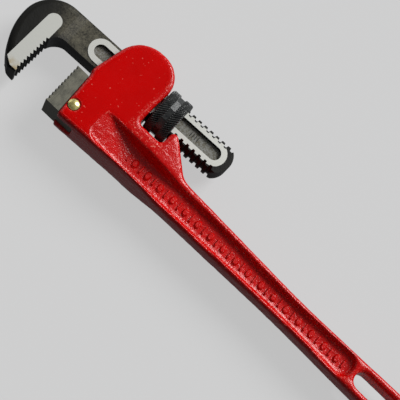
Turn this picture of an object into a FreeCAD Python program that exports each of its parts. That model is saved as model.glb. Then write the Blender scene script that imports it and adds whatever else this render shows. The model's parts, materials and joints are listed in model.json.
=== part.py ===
import FreeCAD, Part
import Sketcher
import math
import os

# Pipe wrench, 350 mm nominal, lying on its side.
# +X runs from the jaws to the end of the handle, +Y points to the crown and +Z is the thickness.
# The origin is under the middle of the bounding box, on the surface that the wrench lies on.

Vector = FreeCAD.Vector
Rotation = FreeCAD.Rotation
Placement = FreeCAD.Placement

# alias, value in mm or degrees, what it is
DIMENSIONS = [
    ("mid_plane", 15.0, "height of the plane of symmetry"),
    ("centre_x", 0.25, "x of the box's middle while building"),
    ("centre_y", 1.59, "y of the box's middle while building"),
    ("overall_end", 175.0, "x of the handle's end"),
    ("housing_width", 26.0, "thickness of the housing"),
    ("flange_width", 16.0, "thickness of the grip"),
    ("web_width", 6.5, "thickness of the web"),
    ("neck_start", -62.0, "x where the housing starts to narrow"),
    ("neck_end", -25.0, "x where the grip's thickness is reached"),
    ("crown_top", 38.5, "y of the crown's top"),
    ("crown_right", -78.0, "x of the crown's right side and of the window's left wall"),
    ("window_right", -60.0, "x of the window's right wall"),
    ("window_floor", -3.8, "y of the window's floor"),
    ("horn_tip", 10.5, "y of the horn's tip"),
    ("edge_round", 2.5, "rounding of the casting's long edges"),
    ("draft", 10.0, "draft of the web recess"),
    ("floor_round", 2.0, "rounding of the web recess's floor"),
    ("hang_start", 119.0, "x of the hang slot's left end"),
    ("hang_end", 162.0, "x of the hang slot's right end"),
    ("hang_width", 10.8, "width of the hang slot"),
    ("hang_level", -21.7, "y of the hang slot's middle"),
    ("screw_x", -69.0, "x of the nut's centre"),
    ("screw_y", 15.6, "y of the nut's centre"),
    ("screw_tilt", 2.1, "tilt of the shank against the handle"),
    ("pitch", 4.7, "thread pitch"),
    ("crest_radius", 11.5, "thread crest radius of the shank"),
    ("root_radius", 9.8, "thread root radius of the shank"),
    ("thread_gap", 0.4, "clearance between the threads"),
    ("shank_width", 14.0, "thickness of the shank over its rims"),
    ("neck_width", 13.2, "thickness of the forged neck"),
    ("neck_half_height", 10.3, "half height of the forged neck"),
    ("shank_left", -35.6, "start of the threaded shank"),
    ("tail_centre", 36.5, "centre of the tail's rounding"),
    ("rim_left", -55.6, "centre of the rim's left rounding"),
    ("rim_radius", 8.2, "radius of the rim's ends"),
    ("pocket_radius", 4.4, "radius of the shank pocket's ends"),
    ("pocket_depth", 2.4, "depth of the shank pocket"),
    ("hook_width", 17.4, "thickness of the forged hook"),
    ("face_width", 19.0, "thickness of the hook over its ground faces"),
    ("spine_round", 4.5, "rounding of the hook's spine"),
    ("tooth_pitch", 2.78, "pitch of the teeth"),
    ("tooth_depth", 1.5, "depth of the teeth"),
    ("tooth_count", 10, "teeth on the hook jaw"),
    ("heel_width", 22.0, "thickness of the heel jaw"),
    ("heel_tooth_count", 10, "teeth on the heel jaw"),
    ("tongue_width", 12.0, "thickness of the heel jaw's tongue"),
    ("tongue_gap", 0.1, "clearance round the tongue"),
    ("pin_x", -112.5, "x of the heel jaw pin"),
    ("pin_y", -24.5, "y of the heel jaw pin"),
    ("pin_radius", 3.5, "radius of the heel jaw pin"),
    ("pin_gap", 0.05, "clearance round the pin"),
    ("nut_radius", 15.0, "outer radius of the nut"),
    ("nut_half_length", 7.75, "half length of the nut"),
    ("waist_apothem", 13.6, "distance of the waist's flats from the axis"),
    ("waist_width", 3.8, "width of the waist groove"),
    ("waist_flats", 12, "flats round the waist"),
    ("slot_width", 15.0, "width of the shank's slot in the housing"),
    ("slot_below", 11.9, "depth of the crown slot below the shank's axis"),
    ("slot_above", 14.9, "height of the crown slot above the shank's axis"),
    ("spring_x", -27.0, "place of the spring along the shank"),
    ("spring_pocket_radius", 4.6, "radius of the spring pocket"),
    ("spring_pocket_top", 20.6, "end of the spring pocket above the shank's axis"),
    ("strip_bottom", 11.9, "underside of the flat spring above the shank's axis"),
    ("strip_thickness", 1.0, "thickness of the flat spring"),
    ("strip_half_length", 13.0, "half length of the flat spring"),
    ("strip_width", 8.0, "width of the flat spring"),
    ("coil_radius", 3.4, "mean radius of the coil spring"),
    ("wire_radius", 0.55, "radius of the coil spring's wire"),
    ("coil_turns", 4.0, "turns of the coil spring"),
    ("rivet_radius", 1.2, "radius of the spring rivet"),
]

document = FreeCAD.newDocument("pipe_wrench")
sheet = document.addObject("Spreadsheet::Sheet", "Sheet")
for row, (alias, value, note) in enumerate(DIMENSIONS, start=1):
    sheet.set("A%d" % row, alias)
    sheet.set("B%d" % row, "%g" % value)
    sheet.setAlias("B%d" % row, alias)
    sheet.set("C%d" % row, note)
document.recompute()


def size(alias):
    """The value of one cell of the sheet."""
    return float(sheet.get(alias))


def bind(thing, prop, expression):
    """Drive one property from the sheet, each alias written as Sheet.alias."""
    thing.setExpression(prop, expression)


def make_body(name):
    body = document.addObject("PartDesign::Body", name)
    body.Label = name
    return body


def plane_of(body, role):
    for feature in body.Origin.OriginFeatures:
        if feature.Role == role:
            return feature
    raise ValueError(role)


def sketch_on(body, name, role="XY_Plane"):
    sketch = body.newObject("Sketcher::SketchObject", name)
    sketch.AttachmentSupport = (plane_of(body, role), [""])
    sketch.MapMode = "FlatFace"
    return sketch


def on_mid_plane(sketch):
    """Lift a sketch of the handle's frame to the plane of symmetry."""
    bind(sketch, ".AttachmentOffset.Base.z", "Sheet.mid_plane")
    return sketch


def on_shank_axis(sketch, along="0"):
    """Put a sketch of the handle's frame on the shank's axis, x along the axis."""
    bind(sketch, ".AttachmentOffset.Base.x", "Sheet.screw_x + (%s) * cos(Sheet.screw_tilt * 1deg)" % along)
    bind(sketch, ".AttachmentOffset.Base.y", "Sheet.screw_y + (%s) * sin(Sheet.screw_tilt * 1deg)" % along)
    bind(sketch, ".AttachmentOffset.Base.z", "Sheet.mid_plane")
    bind(sketch, ".AttachmentOffset.Rotation.Angle", "Sheet.screw_tilt * 1deg")
    sketch.AttachmentOffset.Rotation = Rotation(Vector(0, 0, 1), size("screw_tilt"))
    return sketch


def rounded_loop(corners):
    """Lines and tangent arcs round a closed outline of corners (x, y) or (x, y, radius)."""
    count = len(corners)
    entries = []
    for index, corner in enumerate(corners):
        point = Vector(corner[0], corner[1], 0)
        radius = corner[2] if len(corner) > 2 else 0.0
        before = Vector(*corners[index - 1][:2], 0)
        after = Vector(*corners[(index + 1) % count][:2], 0)
        toward_before = (before - point).normalize()
        toward_after = (after - point).normalize()
        if radius <= 0:
            entries.append((point, None, point))
            continue
        half_angle = toward_before.getAngle(toward_after) / 2
        reach = radius / math.tan(half_angle)
        if reach > min((before - point).Length, (after - point).Length):
            raise ValueError("radius %g does not fit at (%g, %g)" % (radius, point.x, point.y))
        start = point + toward_before * reach
        end = point + toward_after * reach
        bisector = (toward_before + toward_after).normalize()
        centre = point + bisector * (radius / math.sin(half_angle))
        entries.append((start, centre - bisector * radius, end))
    loop = []
    for index, (start, middle, end) in enumerate(entries):
        if middle is not None:
            loop.append(Part.Arc(start, middle, end))
        following = entries[(index + 1) % count][0]
        if (following - end).Length > 1e-6:
            loop.append(Part.LineSegment(end, following))
    return loop


def add_loop(sketch, loop):
    """Add a closed chain of curves and hold its shape."""
    first = sketch.GeometryCount
    for curve in loop:
        sketch.addGeometry(curve, False)
    for offset in range(len(loop)):
        sketch.addConstraint(Sketcher.Constraint("Block", first + offset))


def add_circle(sketch, radius, x=None, y=None):
    """A circle driven by the sheet, at the origin or at (x, y)."""
    index = sketch.addGeometry(Part.Circle(Vector(1, 1, 0), Vector(0, 0, 1), 1.0), False)
    bound = [("Radius", radius, (index,))]
    if x is None:
        sketch.addConstraint(Sketcher.Constraint("Coincident", index, 3, -1, 1))
    else:
        bound.append(("DistanceX", x, (-1, 1, index, 3)))
        bound.append(("DistanceY", y, (-1, 1, index, 3)))
    for kind, expression, where in bound:
        number = sketch.addConstraint(Sketcher.Constraint(kind, *where, 1.0))
        sketch.setExpression("Constraints[%d]" % number, expression)
    return index


def add_polygon(sketch, corners):
    """A closed polygon whose corners (x, y) are expressions of the sheet."""
    count = len(corners)
    first = sketch.GeometryCount
    start = [Vector(math.cos(2 * math.pi * k / count), math.sin(2 * math.pi * k / count), 0) for k in range(count)]
    for k in range(count):
        sketch.addGeometry(Part.LineSegment(start[k], start[(k + 1) % count]), False)
    for k in range(count):
        sketch.addConstraint(Sketcher.Constraint("Coincident", first + k, 2, first + (k + 1) % count, 1))
    for k, corner in enumerate(corners):
        for kind, expression in zip(("DistanceX", "DistanceY"), corner):
            value = getattr(start[k], "x" if kind == "DistanceX" else "y")
            number = sketch.addConstraint(Sketcher.Constraint(kind, -1, 1, first + k, 1, value))
            sketch.setExpression("Constraints[%d]" % number, expression)


def add_box(sketch, left, bottom, right, top):
    """An upright rectangle whose sides are expressions of the sheet."""
    add_polygon(sketch, [(left, bottom), (right, bottom), (right, top), (left, top)])


def add_slot(sketch, left, right, radius):
    """A slot along x between two end centres, as measured at build time."""
    a, b, r = left, right, radius
    add_loop(sketch, [
        Part.LineSegment(Vector(a, r, 0), Vector(b, r, 0)),
        Part.Arc(Vector(b, r, 0), Vector(b + r, 0, 0), Vector(b, -r, 0)),
        Part.LineSegment(Vector(b, -r, 0), Vector(a, -r, 0)),
        Part.Arc(Vector(a, -r, 0), Vector(a - r, 0, 0), Vector(a, r, 0)),
    ])


def pad(body, name, sketch, length):
    feature = body.newObject("PartDesign::Pad", name)
    feature.Profile = sketch
    feature.SideType = "Symmetric"
    bind(feature, "Length", length)
    document.recompute()
    return feature


def cut_check(body, volume_before, name):
    document.recompute()
    volume = body.Shape.Volume
    if not volume < volume_before - 1e-3:
        raise RuntimeError("%s removes nothing" % name)


def pocket(body, name, sketch, length=None, one_sided=False, reversed_side=False):
    """Cut a sketch's outline to a length from the sheet, or right through."""
    volume_before = body.Shape.Volume
    feature = body.newObject("PartDesign::Pocket", name)
    feature.Profile = sketch
    if length is None:
        feature.Type = "ThroughAll"
        feature.SideType = "Symmetric"
    else:
        feature.SideType = "One side" if one_sided else "Symmetric"
        feature.Reversed = reversed_side
        bind(feature, "Length", length)
    cut_check(body, volume_before, name)
    return feature


def turn(body, name, sketch, axis="V_Axis", angle=360.0, kind="Revolution"):
    """Revolve a sketch about one of its own axes, adding or grooving."""
    volume_before = body.Shape.Volume if kind == "Groove" else 0.0
    feature = body.newObject("PartDesign::" + kind, name)
    feature.Profile = sketch
    feature.ReferenceAxis = (sketch, [axis])
    feature.Angle = angle
    if angle < 360:
        feature.Midplane = True
    if kind == "Groove":
        cut_check(body, volume_before, name)
    else:
        document.recompute()
    return feature


def repeat(body, name, feature, direction, length, occurrences, polar=False):
    """Repeat a feature in a row, or round an axis."""
    pattern = body.newObject("PartDesign::PolarPattern" if polar else "PartDesign::LinearPattern", name)
    pattern.Originals = [feature]
    if polar:
        pattern.Axis = direction
        pattern.Angle = 360
    else:
        pattern.Direction = direction
        bind(pattern, "Length", length)
    bind(pattern, "Occurrences", occurrences)
    body.Tip = pattern
    document.recompute()
    return pattern


def sharp_edges(shape, wanted):
    """Names of the edges whose points pass the test and whose two faces meet at an angle."""
    names = []
    for number, edge in enumerate(shape.Edges, start=1):
        first, last = edge.ParameterRange
        points = [edge.valueAt(first + (last - first) * k / 4) for k in range(5)]
        if not all(wanted(point) for point in points):
            continue
        faces = shape.ancestorsOfType(edge, Part.Face)
        if len(faces) != 2:
            continue
        normals = []
        for face in faces:
            u, v = face.Surface.parameter(points[2])
            normals.append(face.normalAt(u, v))
        if abs(normals[0].dot(normals[1])) < 0.97:
            names.append("Edge%d" % number)
    return names


def fillet(body, name, edges, radius):
    base = body.Tip
    feature = body.newObject("PartDesign::Fillet", name)
    feature.Base = (base, edges)
    bind(feature, "Radius", radius)
    document.recompute()
    return feature


def screw_placement(quarter_turned=False):
    """The shank's axis in the wrench, from the nut's centre towards the handle's end."""
    tilt = Rotation(Vector(0, 0, 1), size("screw_tilt"))
    axis_along_x = Rotation(Vector(1, 1, 1), 120) if quarter_turned else Rotation()
    return Placement(Vector(size("screw_x"), size("screw_y"), size("mid_plane")), tilt.multiply(axis_along_x))


# ---------------------------------------------------------------- handle
end = size("overall_end")
casting = make_body("handle_casting")

outline = on_mid_plane(sketch_on(casting, "casting_outline"))
window_left = size("crown_right")
window_right = size("window_right")
floor = size("window_floor")
grip_bottom = -33.4
grip_top = -10.2
add_loop(outline, rounded_loop([
    (-116.0, -35.4, 1.5),
    (-70.0, -32.9, 200.0),
    (60.0, -30.8, 600.0),
    (end, grip_bottom, 11.0),
    (end, grip_top, 11.0),
    (68.0, -12.2, 600.0),
    (-35.0, -8.4, 10.0),
    (window_right + 0.4, size("horn_tip"), 3.0),
    (window_right, floor, 2.5),
    (window_left, floor, 2.5),
    (window_left + 1.0, size("crown_top"), 17.0),
    (-113.4, size("crown_top"), 20.0),
    (-120.4, 0.6, 5.0),
    (-118.7, -3.8, 0.0),
]))
pad(casting, "casting_blank", outline, "Sheet.housing_width")

plan = sketch_on(casting, "casting_plan", "XZ_Plane")
middle = size("mid_plane")
x_start, x_end = size("neck_start"), size("neck_end")
wide, narrow = size("housing_width") / 2, size("flange_width") / 2
bend = ((x_end - x_start) ** 2 + (wide - narrow) ** 2) / (4 * (wide - narrow))
quarter = (x_end - x_start) / 4
sag = bend - math.sqrt(bend ** 2 - quarter ** 2)
for side in (1, -1):
    shoulder = Vector(x_start, middle + side * wide, 0)
    halfway = Vector((x_start + x_end) / 2, middle + side * (wide + narrow) / 2, 0)
    waist = Vector(x_end, middle + side * narrow, 0)
    far = Vector(end + 5, middle + side * narrow, 0)
    far_out = Vector(end + 5, middle + side * (wide + 2), 0)
    near_out = Vector(x_start, middle + side * (wide + 2), 0)
    add_loop(plan, [
        Part.Arc(shoulder, shoulder + Vector(quarter, -side * sag, 0), halfway),
        Part.Arc(halfway, waist + Vector(-quarter, side * sag, 0), waist),
        Part.LineSegment(waist, far),
        Part.LineSegment(far, far_out),
        Part.LineSegment(far_out, near_out),
        Part.LineSegment(near_out, shoulder),
    ])
pocket(casting, "casting_narrowing", plan)

hang = on_mid_plane(sketch_on(casting, "hang_slot"))
bind(hang, ".AttachmentOffset.Base.y", "Sheet.hang_level")
hang_radius = size("hang_width") / 2
add_slot(hang, size("hang_start") + hang_radius, size("hang_end") - hang_radius, hang_radius)
pocket(casting, "hang_slot_cut", hang)


def half_thickness(x):
    """Half the casting's thickness at x."""
    if x <= x_start:
        return wide
    if x >= x_end:
        return narrow
    from_bend = min(x - x_start, x_end - x)
    drop = bend - math.sqrt(bend ** 2 - from_bend ** 2)
    return wide - drop if x - x_start < x_end - x else narrow + drop


rim_edges = sharp_edges(casting.Shape, lambda p: abs(abs(p.z - middle) - half_thickness(p.x)) < 0.01)
fillet(casting, "casting_rounding", rim_edges, "Sheet.edge_round")

crown_slot = on_shank_axis(sketch_on(casting, "crown_slot"))
add_box(crown_slot, "-60", "-Sheet.slot_below", "-4", "Sheet.slot_above")
pocket(casting, "crown_slot_cut", crown_slot, "Sheet.slot_width")

horn_slot = on_shank_axis(sketch_on(casting, "horn_slot"))
add_box(horn_slot, "4", "-Sheet.slot_below - 0.9", "26", "Sheet.slot_above")
pocket(casting, "horn_slot_cut", horn_slot, "Sheet.slot_width")

spring_hole = on_shank_axis(sketch_on(casting, "spring_pocket"), "Sheet.spring_x")
add_box(spring_hole, "0", "Sheet.slot_above - 1", "Sheet.spring_pocket_radius", "Sheet.spring_pocket_top")
turn(casting, "spring_pocket_cut", spring_hole, kind="Groove")

mortise = on_mid_plane(sketch_on(casting, "mortise"))
add_box(mortise, "-124", "-40", "-104 + Sheet.tongue_gap", "-12 + Sheet.tongue_gap")
pocket(casting, "mortise_cut", mortise, "Sheet.tongue_width + 2 * Sheet.tongue_gap")

pin_hole = on_mid_plane(sketch_on(casting, "pin_hole"))
add_circle(pin_hole, "Sheet.pin_radius + Sheet.pin_gap", "Sheet.pin_x", "Sheet.pin_y")
pocket(casting, "pin_hole_cut", pin_hole)

# The recess on each side of the web runs out in a spoon below the nut's window. Its cutter is made
# about z = 0: drafted walls, a rounded floor, and a ramp that brings the floor up to the surface.
recess = make_body("recess_cutter")
recess_outline = sketch_on(recess, "recess_outline")
bind(recess_outline, ".AttachmentOffset.Base.z", "Sheet.web_width / 2")
add_loop(recess_outline, rounded_loop([
    (-98.0, -29.6, 11.0),
    (60.0, -26.6, 600.0),
    (114.0, -28.4, 5.0),
    (114.0, -15.4, 5.0),
    (68.0, -17.2, 600.0),
    (0.0, -15.0, 300.0),
    (-98.0, -15.0, 3.0),
]))
prism = recess.newObject("PartDesign::Pad", "recess_prism")
prism.Profile = recess_outline
bind(prism, "Length", "Sheet.housing_width / 2 + 2 - Sheet.web_width / 2")
document.recompute()
walls = []
for number, face in enumerate(recess.Shape.Faces, start=1):
    if face.BoundBox.ZLength > 1:
        walls.append("Face%d" % number)
draft = recess.newObject("PartDesign::Draft", "recess_draft")
draft.Base = (prism, walls)
draft.NeutralPlane = (plane_of(recess, "XY_Plane"), [""])
draft.Reversed = True
bind(draft, "Angle", "Sheet.draft")
document.recompute()
web = size("web_width") / 2
floor_edges = sharp_edges(recess.Shape, lambda p: p.z < web + 0.01)
fillet(recess, "recess_rounding", floor_edges, "Sheet.floor_round")
ramp = sketch_on(recess, "recess_ramp", "XZ_Plane")
add_loop(ramp, rounded_loop([
    (-110.0, wide + 2.5),
    (-97.5, wide + 0.5, 12.0),
    (-70.0, web, 40.0),
    (-60.0, web),
    (-60.0, web - 2.0),
    (-110.0, web - 2.0),
]))
pocket(recess, "recess_ramp_cut", ramp)
bind(recess, ".Placement.Base.z", "Sheet.mid_plane")
mirrored_recess = document.addObject("Part::Mirroring", "recess_mirror")
mirrored_recess.Source = recess
mirrored_recess.Normal = Vector(0, 0, 1)
bind(mirrored_recess, "Base.z", "Sheet.mid_plane")
recesses = document.addObject("Part::MultiFuse", "recesses")
recesses.Shapes = [recess, mirrored_recess]
handle = document.addObject("Part::Cut", "handle")
handle.Base = casting
handle.Tool = recesses
handle.Label = "handle"
document.recompute()

# ---------------------------------------------------------------- heel jaw
heel_jaw = make_body("heel_jaw")
block = on_mid_plane(sketch_on(heel_jaw, "heel_block"))
heel_top = Vector(-127.6, -4.7, 0)
heel_foot = Vector(-126.4, -33.4, 0)
seat_top = Vector(-118.7, -3.8, 0)
seat_foot = Vector(-116.0, -35.4, 0)
seat_run = (seat_foot - seat_top) * (1 / (seat_foot.y - seat_top.y))
add_loop(block, rounded_loop([
    (heel_top.x, heel_top.y),
    (seat_top.x + seat_run.x * (heel_top.y - seat_top.y), heel_top.y),
    (seat_top.x + seat_run.x * (heel_foot.y - seat_top.y), heel_foot.y),
    (heel_foot.x, heel_foot.y),
]))
pad(heel_jaw, "heel_blank", block, "Sheet.heel_width")

tongue = on_mid_plane(sketch_on(heel_jaw, "heel_tongue"))
add_box(tongue, "-119", "-33.4", "-104", "-12")
pad(heel_jaw, "heel_tongue_pad", tongue, "Sheet.tongue_width")

heel_run = (heel_foot - heel_top).normalize()
heel_inward = Vector(-heel_run.y, heel_run.x, 0)
tooth_pitch = size("tooth_pitch")
tooth_depth = size("tooth_depth")


def tooth_notch(start, run, inward):
    """One saw-tooth notch: a steep flank, then a slope of one pitch."""
    root = start + run * (0.3 * tooth_pitch) + inward * tooth_depth
    lift = inward * -0.4
    return [
        Part.LineSegment(start + lift, root),
        Part.LineSegment(root, start + run * tooth_pitch + lift * 0.2),
        Part.LineSegment(start + run * tooth_pitch + lift * 0.2, start + lift),
    ]


heel_notch = on_mid_plane(sketch_on(heel_jaw, "heel_notch"))
add_loop(heel_notch, tooth_notch(heel_top + heel_run * 0.6, heel_run, heel_inward))
heel_axis = heel_notch.addGeometry(Part.LineSegment(heel_top, heel_foot), True)
first_notch = pocket(heel_jaw, "heel_notch_cut", heel_notch)
heel_teeth = repeat(heel_jaw, "heel_teeth", first_notch, (heel_notch, ["Axis0"]),
                    "(Sheet.heel_tooth_count - 1) * Sheet.tooth_pitch", "Sheet.heel_tooth_count")

heel_hole = on_mid_plane(sketch_on(heel_jaw, "heel_hole"))
add_circle(heel_hole, "Sheet.pin_radius + Sheet.pin_gap", "Sheet.pin_x", "Sheet.pin_y")
pocket(heel_jaw, "heel_hole_cut", heel_hole)

# ---------------------------------------------------------------- heel jaw pin
heel_jaw_pin = make_body("heel_jaw_pin")
pin_profile = sketch_on(heel_jaw_pin, "pin_profile", "XZ_Plane")
pin_radius = size("pin_radius")
pin_end = size("housing_width") / 2 + 0.6
dome = 1.1
ball = (pin_radius ** 2 + dome ** 2) / (2 * dome)
half_span = math.asin(pin_radius / ball) / 2
dome_middle = Vector(ball * math.sin(half_span), pin_end - ball * (1 - math.cos(half_span)), 0)
add_loop(pin_profile, [
    Part.LineSegment(Vector(0, -pin_end, 0), Vector(0, pin_end, 0)),
    Part.Arc(Vector(0, pin_end, 0), dome_middle, Vector(pin_radius, pin_end - dome, 0)),
    Part.LineSegment(Vector(pin_radius, pin_end - dome, 0), Vector(pin_radius, dome - pin_end, 0)),
    Part.Arc(Vector(pin_radius, dome - pin_end, 0), Vector(dome_middle.x, -dome_middle.y, 0),
             Vector(0, -pin_end, 0)),
])
turn(heel_jaw_pin, "pin_solid", pin_profile)
heel_jaw_pin.Placement = Placement(Vector(size("pin_x"), size("pin_y"), middle), Rotation())

# ---------------------------------------------------------------- hook jaw
# Its own frame: x along the shank from the nut's centre, z across the thickness.
hook_jaw = make_body("hook_jaw")
neck = size("neck_half_height")
crown_bend = 22.0
spine_bend = 45.0
crown_centre = Vector(-84.0, neck - crown_bend, 0)
spine_left = crown_centre.x - crown_bend
spine_centre = Vector(spine_left + spine_bend, crown_centre.y, 0)
tip_level = -46.5
tip_x = spine_centre.x - math.sqrt(spine_bend ** 2 - (tip_level - spine_centre.y) ** 2)
face_tilt = math.radians(1.6)
face_top = Vector(-83.1, -17.0, 0)
face_run = Vector(-math.sin(face_tilt), -math.cos(face_tilt), 0)
face_foot = face_top + face_run * ((face_top.y - tip_level) / math.cos(face_tilt))
inner_bend = 9.2
inner_centre = Vector(face_top.x + inner_bend, -neck - inner_bend, 0)
neck_right = size("shank_left") + 0.6


def on_circle(centre, radius, degrees):
    turned = math.radians(degrees)
    return centre + Vector(radius * math.cos(turned), radius * math.sin(turned), 0)


spine_end_angle = math.degrees(math.atan2(tip_level - spine_centre.y, tip_x - spine_centre.x)) % 360
hook_outline = sketch_on(hook_jaw, "hook_outline")
add_loop(hook_outline, [
    Part.LineSegment(Vector(neck_right, neck, 0), Vector(crown_centre.x, neck, 0)),
    Part.Arc(Vector(crown_centre.x, neck, 0), on_circle(crown_centre, crown_bend, 135),
             Vector(spine_left, crown_centre.y, 0)),
    Part.Arc(Vector(spine_left, crown_centre.y, 0),
             on_circle(spine_centre, spine_bend, (180 + spine_end_angle) / 2), Vector(tip_x, tip_level, 0)),
    Part.LineSegment(Vector(tip_x, tip_level, 0), face_foot),
    Part.LineSegment(face_foot, Vector(face_top.x, inner_centre.y, 0)),
    Part.Arc(Vector(face_top.x, inner_centre.y, 0), on_circle(inner_centre, inner_bend, 135),
             Vector(inner_centre.x, -neck, 0)),
    Part.LineSegment(Vector(inner_centre.x, -neck, 0), Vector(neck_right, -neck, 0)),
    Part.LineSegment(Vector(neck_right, -neck, 0), Vector(neck_right, neck, 0)),
])
pad(hook_jaw, "hook_blank", hook_outline, "Sheet.hook_width")


def on_spine(p):
    on_crown = abs((Vector(p.x, p.y, 0) - crown_centre).Length - crown_bend) < 0.01
    on_back = abs((Vector(p.x, p.y, 0) - spine_centre).Length - spine_bend) < 0.01
    return abs(abs(p.z) - size("hook_width") / 2) < 0.01 and (on_crown or on_back)


fillet(hook_jaw, "spine_rounding", sharp_edges(hook_jaw.Shape, on_spine), "Sheet.spine_round")

# The forging narrows to the neck, so that it can pass into the housing.
neck_plan = sketch_on(hook_jaw, "neck_plan", "XZ_Plane")
for side in ("", "-"):
    add_polygon(neck_plan, [
        ("-80", side + "Sheet.hook_width / 2"),
        ("-74", side + "Sheet.neck_width / 2"),
        ("-20", side + "Sheet.neck_width / 2"),
        ("-20", side + "Sheet.hook_width"),
        ("-80", side + "Sheet.hook_width"),
    ])
pocket(hook_jaw, "neck_narrowing", neck_plan)

shank_profile = sketch_on(hook_jaw, "shank_profile")
add_box(shank_profile, "Sheet.shank_left", "0", "Sheet.tail_centre + Sheet.crest_radius", "Sheet.crest_radius")
turn(hook_jaw, "shank_round", shank_profile, "H_Axis")

rim = sketch_on(hook_jaw, "rim")
add_slot(rim, size("rim_left"), size("tail_centre") - 1, size("rim_radius"))
pad(hook_jaw, "rim_pad", rim, "Sheet.shank_width")

shank_sides = sketch_on(hook_jaw, "shank_sides", "YZ_Plane")
for side in ("", "-"):
    add_box(shank_sides, "-15", side + "Sheet.shank_width / 2", "15", side + "15")
trim_before = hook_jaw.Shape.Volume
shank_trim = hook_jaw.newObject("PartDesign::Pocket", "shank_trim")
shank_trim.Profile = shank_sides
shank_trim.SideType = "Two sides"
shank_trim.Length = 45
shank_trim.Length2 = 60
cut_check(hook_jaw, trim_before, "shank_trim")

tail = sketch_on(hook_jaw, "tail")
tail_x, crest = size("tail_centre"), size("crest_radius")
add_loop(tail, [
    Part.Arc(Vector(tail_x, crest, 0), Vector(tail_x + crest, 0, 0), Vector(tail_x, -crest, 0)),
    Part.LineSegment(Vector(tail_x, -crest, 0), Vector(tail_x, -crest - 4, 0)),
    Part.LineSegment(Vector(tail_x, -crest - 4, 0), Vector(tail_x + crest + 4, -crest - 4, 0)),
    Part.LineSegment(Vector(tail_x + crest + 4, -crest - 4, 0), Vector(tail_x + crest + 4, crest + 4, 0)),
    Part.LineSegment(Vector(tail_x + crest + 4, crest + 4, 0), Vector(tail_x, crest + 4, 0)),
    Part.LineSegment(Vector(tail_x, crest + 4, 0), Vector(tail_x, crest, 0)),
])
pocket(hook_jaw, "tail_rounding", tail)

# Raised ground face on each side of the hook.
ground_face = sketch_on(hook_jaw, "ground_face")
pad_left, pad_right = -93.3, face_top.x
pad_bend = (pad_right - pad_left) / 2
add_loop(ground_face, [
    Part.Arc(Vector(pad_right, -6.8, 0), Vector(pad_left + pad_bend, -6.8 + pad_bend, 0), Vector(pad_left, -6.8, 0)),
    Part.LineSegment(Vector(pad_left, -6.8, 0), Vector(pad_left - 0.6, -42.0, 0)),
    Part.LineSegment(Vector(pad_left - 0.6, -42.0, 0), Vector(-88.6, -45.6, 0)),
    Part.LineSegment(Vector(-88.6, -45.6, 0), Vector(face_foot.x, -45.6, 0)),
    Part.LineSegment(Vector(face_foot.x, -45.6, 0), Vector(pad_right, -19.0, 0)),
    Part.LineSegment(Vector(pad_right, -19.0, 0), Vector(pad_right, -6.8, 0)),
])
pad(hook_jaw, "ground_face_pad", ground_face, "Sheet.face_width")

hook_notch = sketch_on(hook_jaw, "hook_notch")
hook_inward = Vector(face_run.y, -face_run.x, 0)
add_loop(hook_notch, tooth_notch(face_top, face_run, hook_inward))
hook_notch.addGeometry(Part.LineSegment(face_top, face_foot), True)
first_notch = pocket(hook_jaw, "hook_notch_cut", hook_notch)
repeat(hook_jaw, "hook_teeth", first_notch, (hook_notch, ["Axis0"]),
       "(Sheet.tooth_count - 1) * Sheet.tooth_pitch", "Sheet.tooth_count")

# Long pocket on each side of the shank.
for side, name in ((1, "front"), (-1, "back")):
    long_pocket = sketch_on(hook_jaw, "pocket_" + name)
    bind(long_pocket, ".AttachmentOffset.Base.z", "%d * Sheet.shank_width / 2" % side)
    add_slot(long_pocket, size("rim_left"), size("tail_centre") - 1, size("pocket_radius"))
    pocket(hook_jaw, "pocket_cut_" + name, long_pocket, "Sheet.pocket_depth", True, side < 0)

# The thread is cut across the shank's two narrow edges only. Across an edge this narrow, a helix is a
# ring tilted by the lead angle, and the two edges are half a pitch apart.
pitch = size("pitch")
lead = math.degrees(math.atan2(pitch * math.asin(size("shank_width") / 2 / crest) / (2 * math.pi),
                               size("shank_width") / 2))
groove_top, groove_root = 1.35, 0.85
root = size("root_radius")
out = 1.0
for side, first, last, name in ((1, -7.0, 9.0, "upper"), (-1, -6.5, 8.5, "lower")):
    groove = sketch_on(hook_jaw, "thread_" + name)
    groove.AttachmentOffset = Placement(Vector(first * pitch, 0, 0), Rotation(Vector(0, 1, 0), side * lead))
    slope = (groove_top - groove_root) / (crest - root)
    lip = groove_top + slope * out
    add_loop(groove, rounded_loop([
        (-lip, side * (crest + out)),
        (lip, side * (crest + out)),
        (groove_root, side * root),
        (-groove_root, side * root),
    ]))
    ring = turn(hook_jaw, "thread_ring_" + name, groove, "H_Axis", 130.0, "Groove")
    x_axis = plane_of(hook_jaw, "X_Axis")
    repeat(hook_jaw, "thread_rings_" + name, ring, (x_axis, [""]), "%g * Sheet.pitch" % (last - first),
           "%d" % (last - first + 1))
hook_jaw.Placement = screw_placement()

# ---------------------------------------------------------------- adjusting nut
# Its own frame: z along the screw.
nut = make_body("adjusting_nut")
ring_profile = sketch_on(nut, "nut_profile", "XZ_Plane")
bore = crest + size("thread_gap")
outer = size("nut_radius")
half = size("nut_half_length")
chamfer = 1.2
add_loop(ring_profile, rounded_loop([
    (bore + 0.8, -half),
    (outer - chamfer, -half),
    (outer, -half + chamfer),
    (outer, half - chamfer),
    (outer - chamfer, half),
    (bore + 0.8, half),
    (bore, half - 0.8),
    (bore, -half + 0.8),
]))
turn(nut, "nut_ring", ring_profile)

waist = sketch_on(nut, "waist")
add_circle(waist, "Sheet.nut_radius + 1")
flats = int(size("waist_flats"))
apothem = size("waist_apothem")
vertex = apothem / math.cos(math.pi / flats)
add_loop(waist, rounded_loop([
    (vertex * math.cos(math.pi * (2 * k + 1) / flats), vertex * math.sin(math.pi * (2 * k + 1) / flats))
    for k in range(flats)
]))
pocket(nut, "waist_cut", waist, "Sheet.waist_width")

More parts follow.
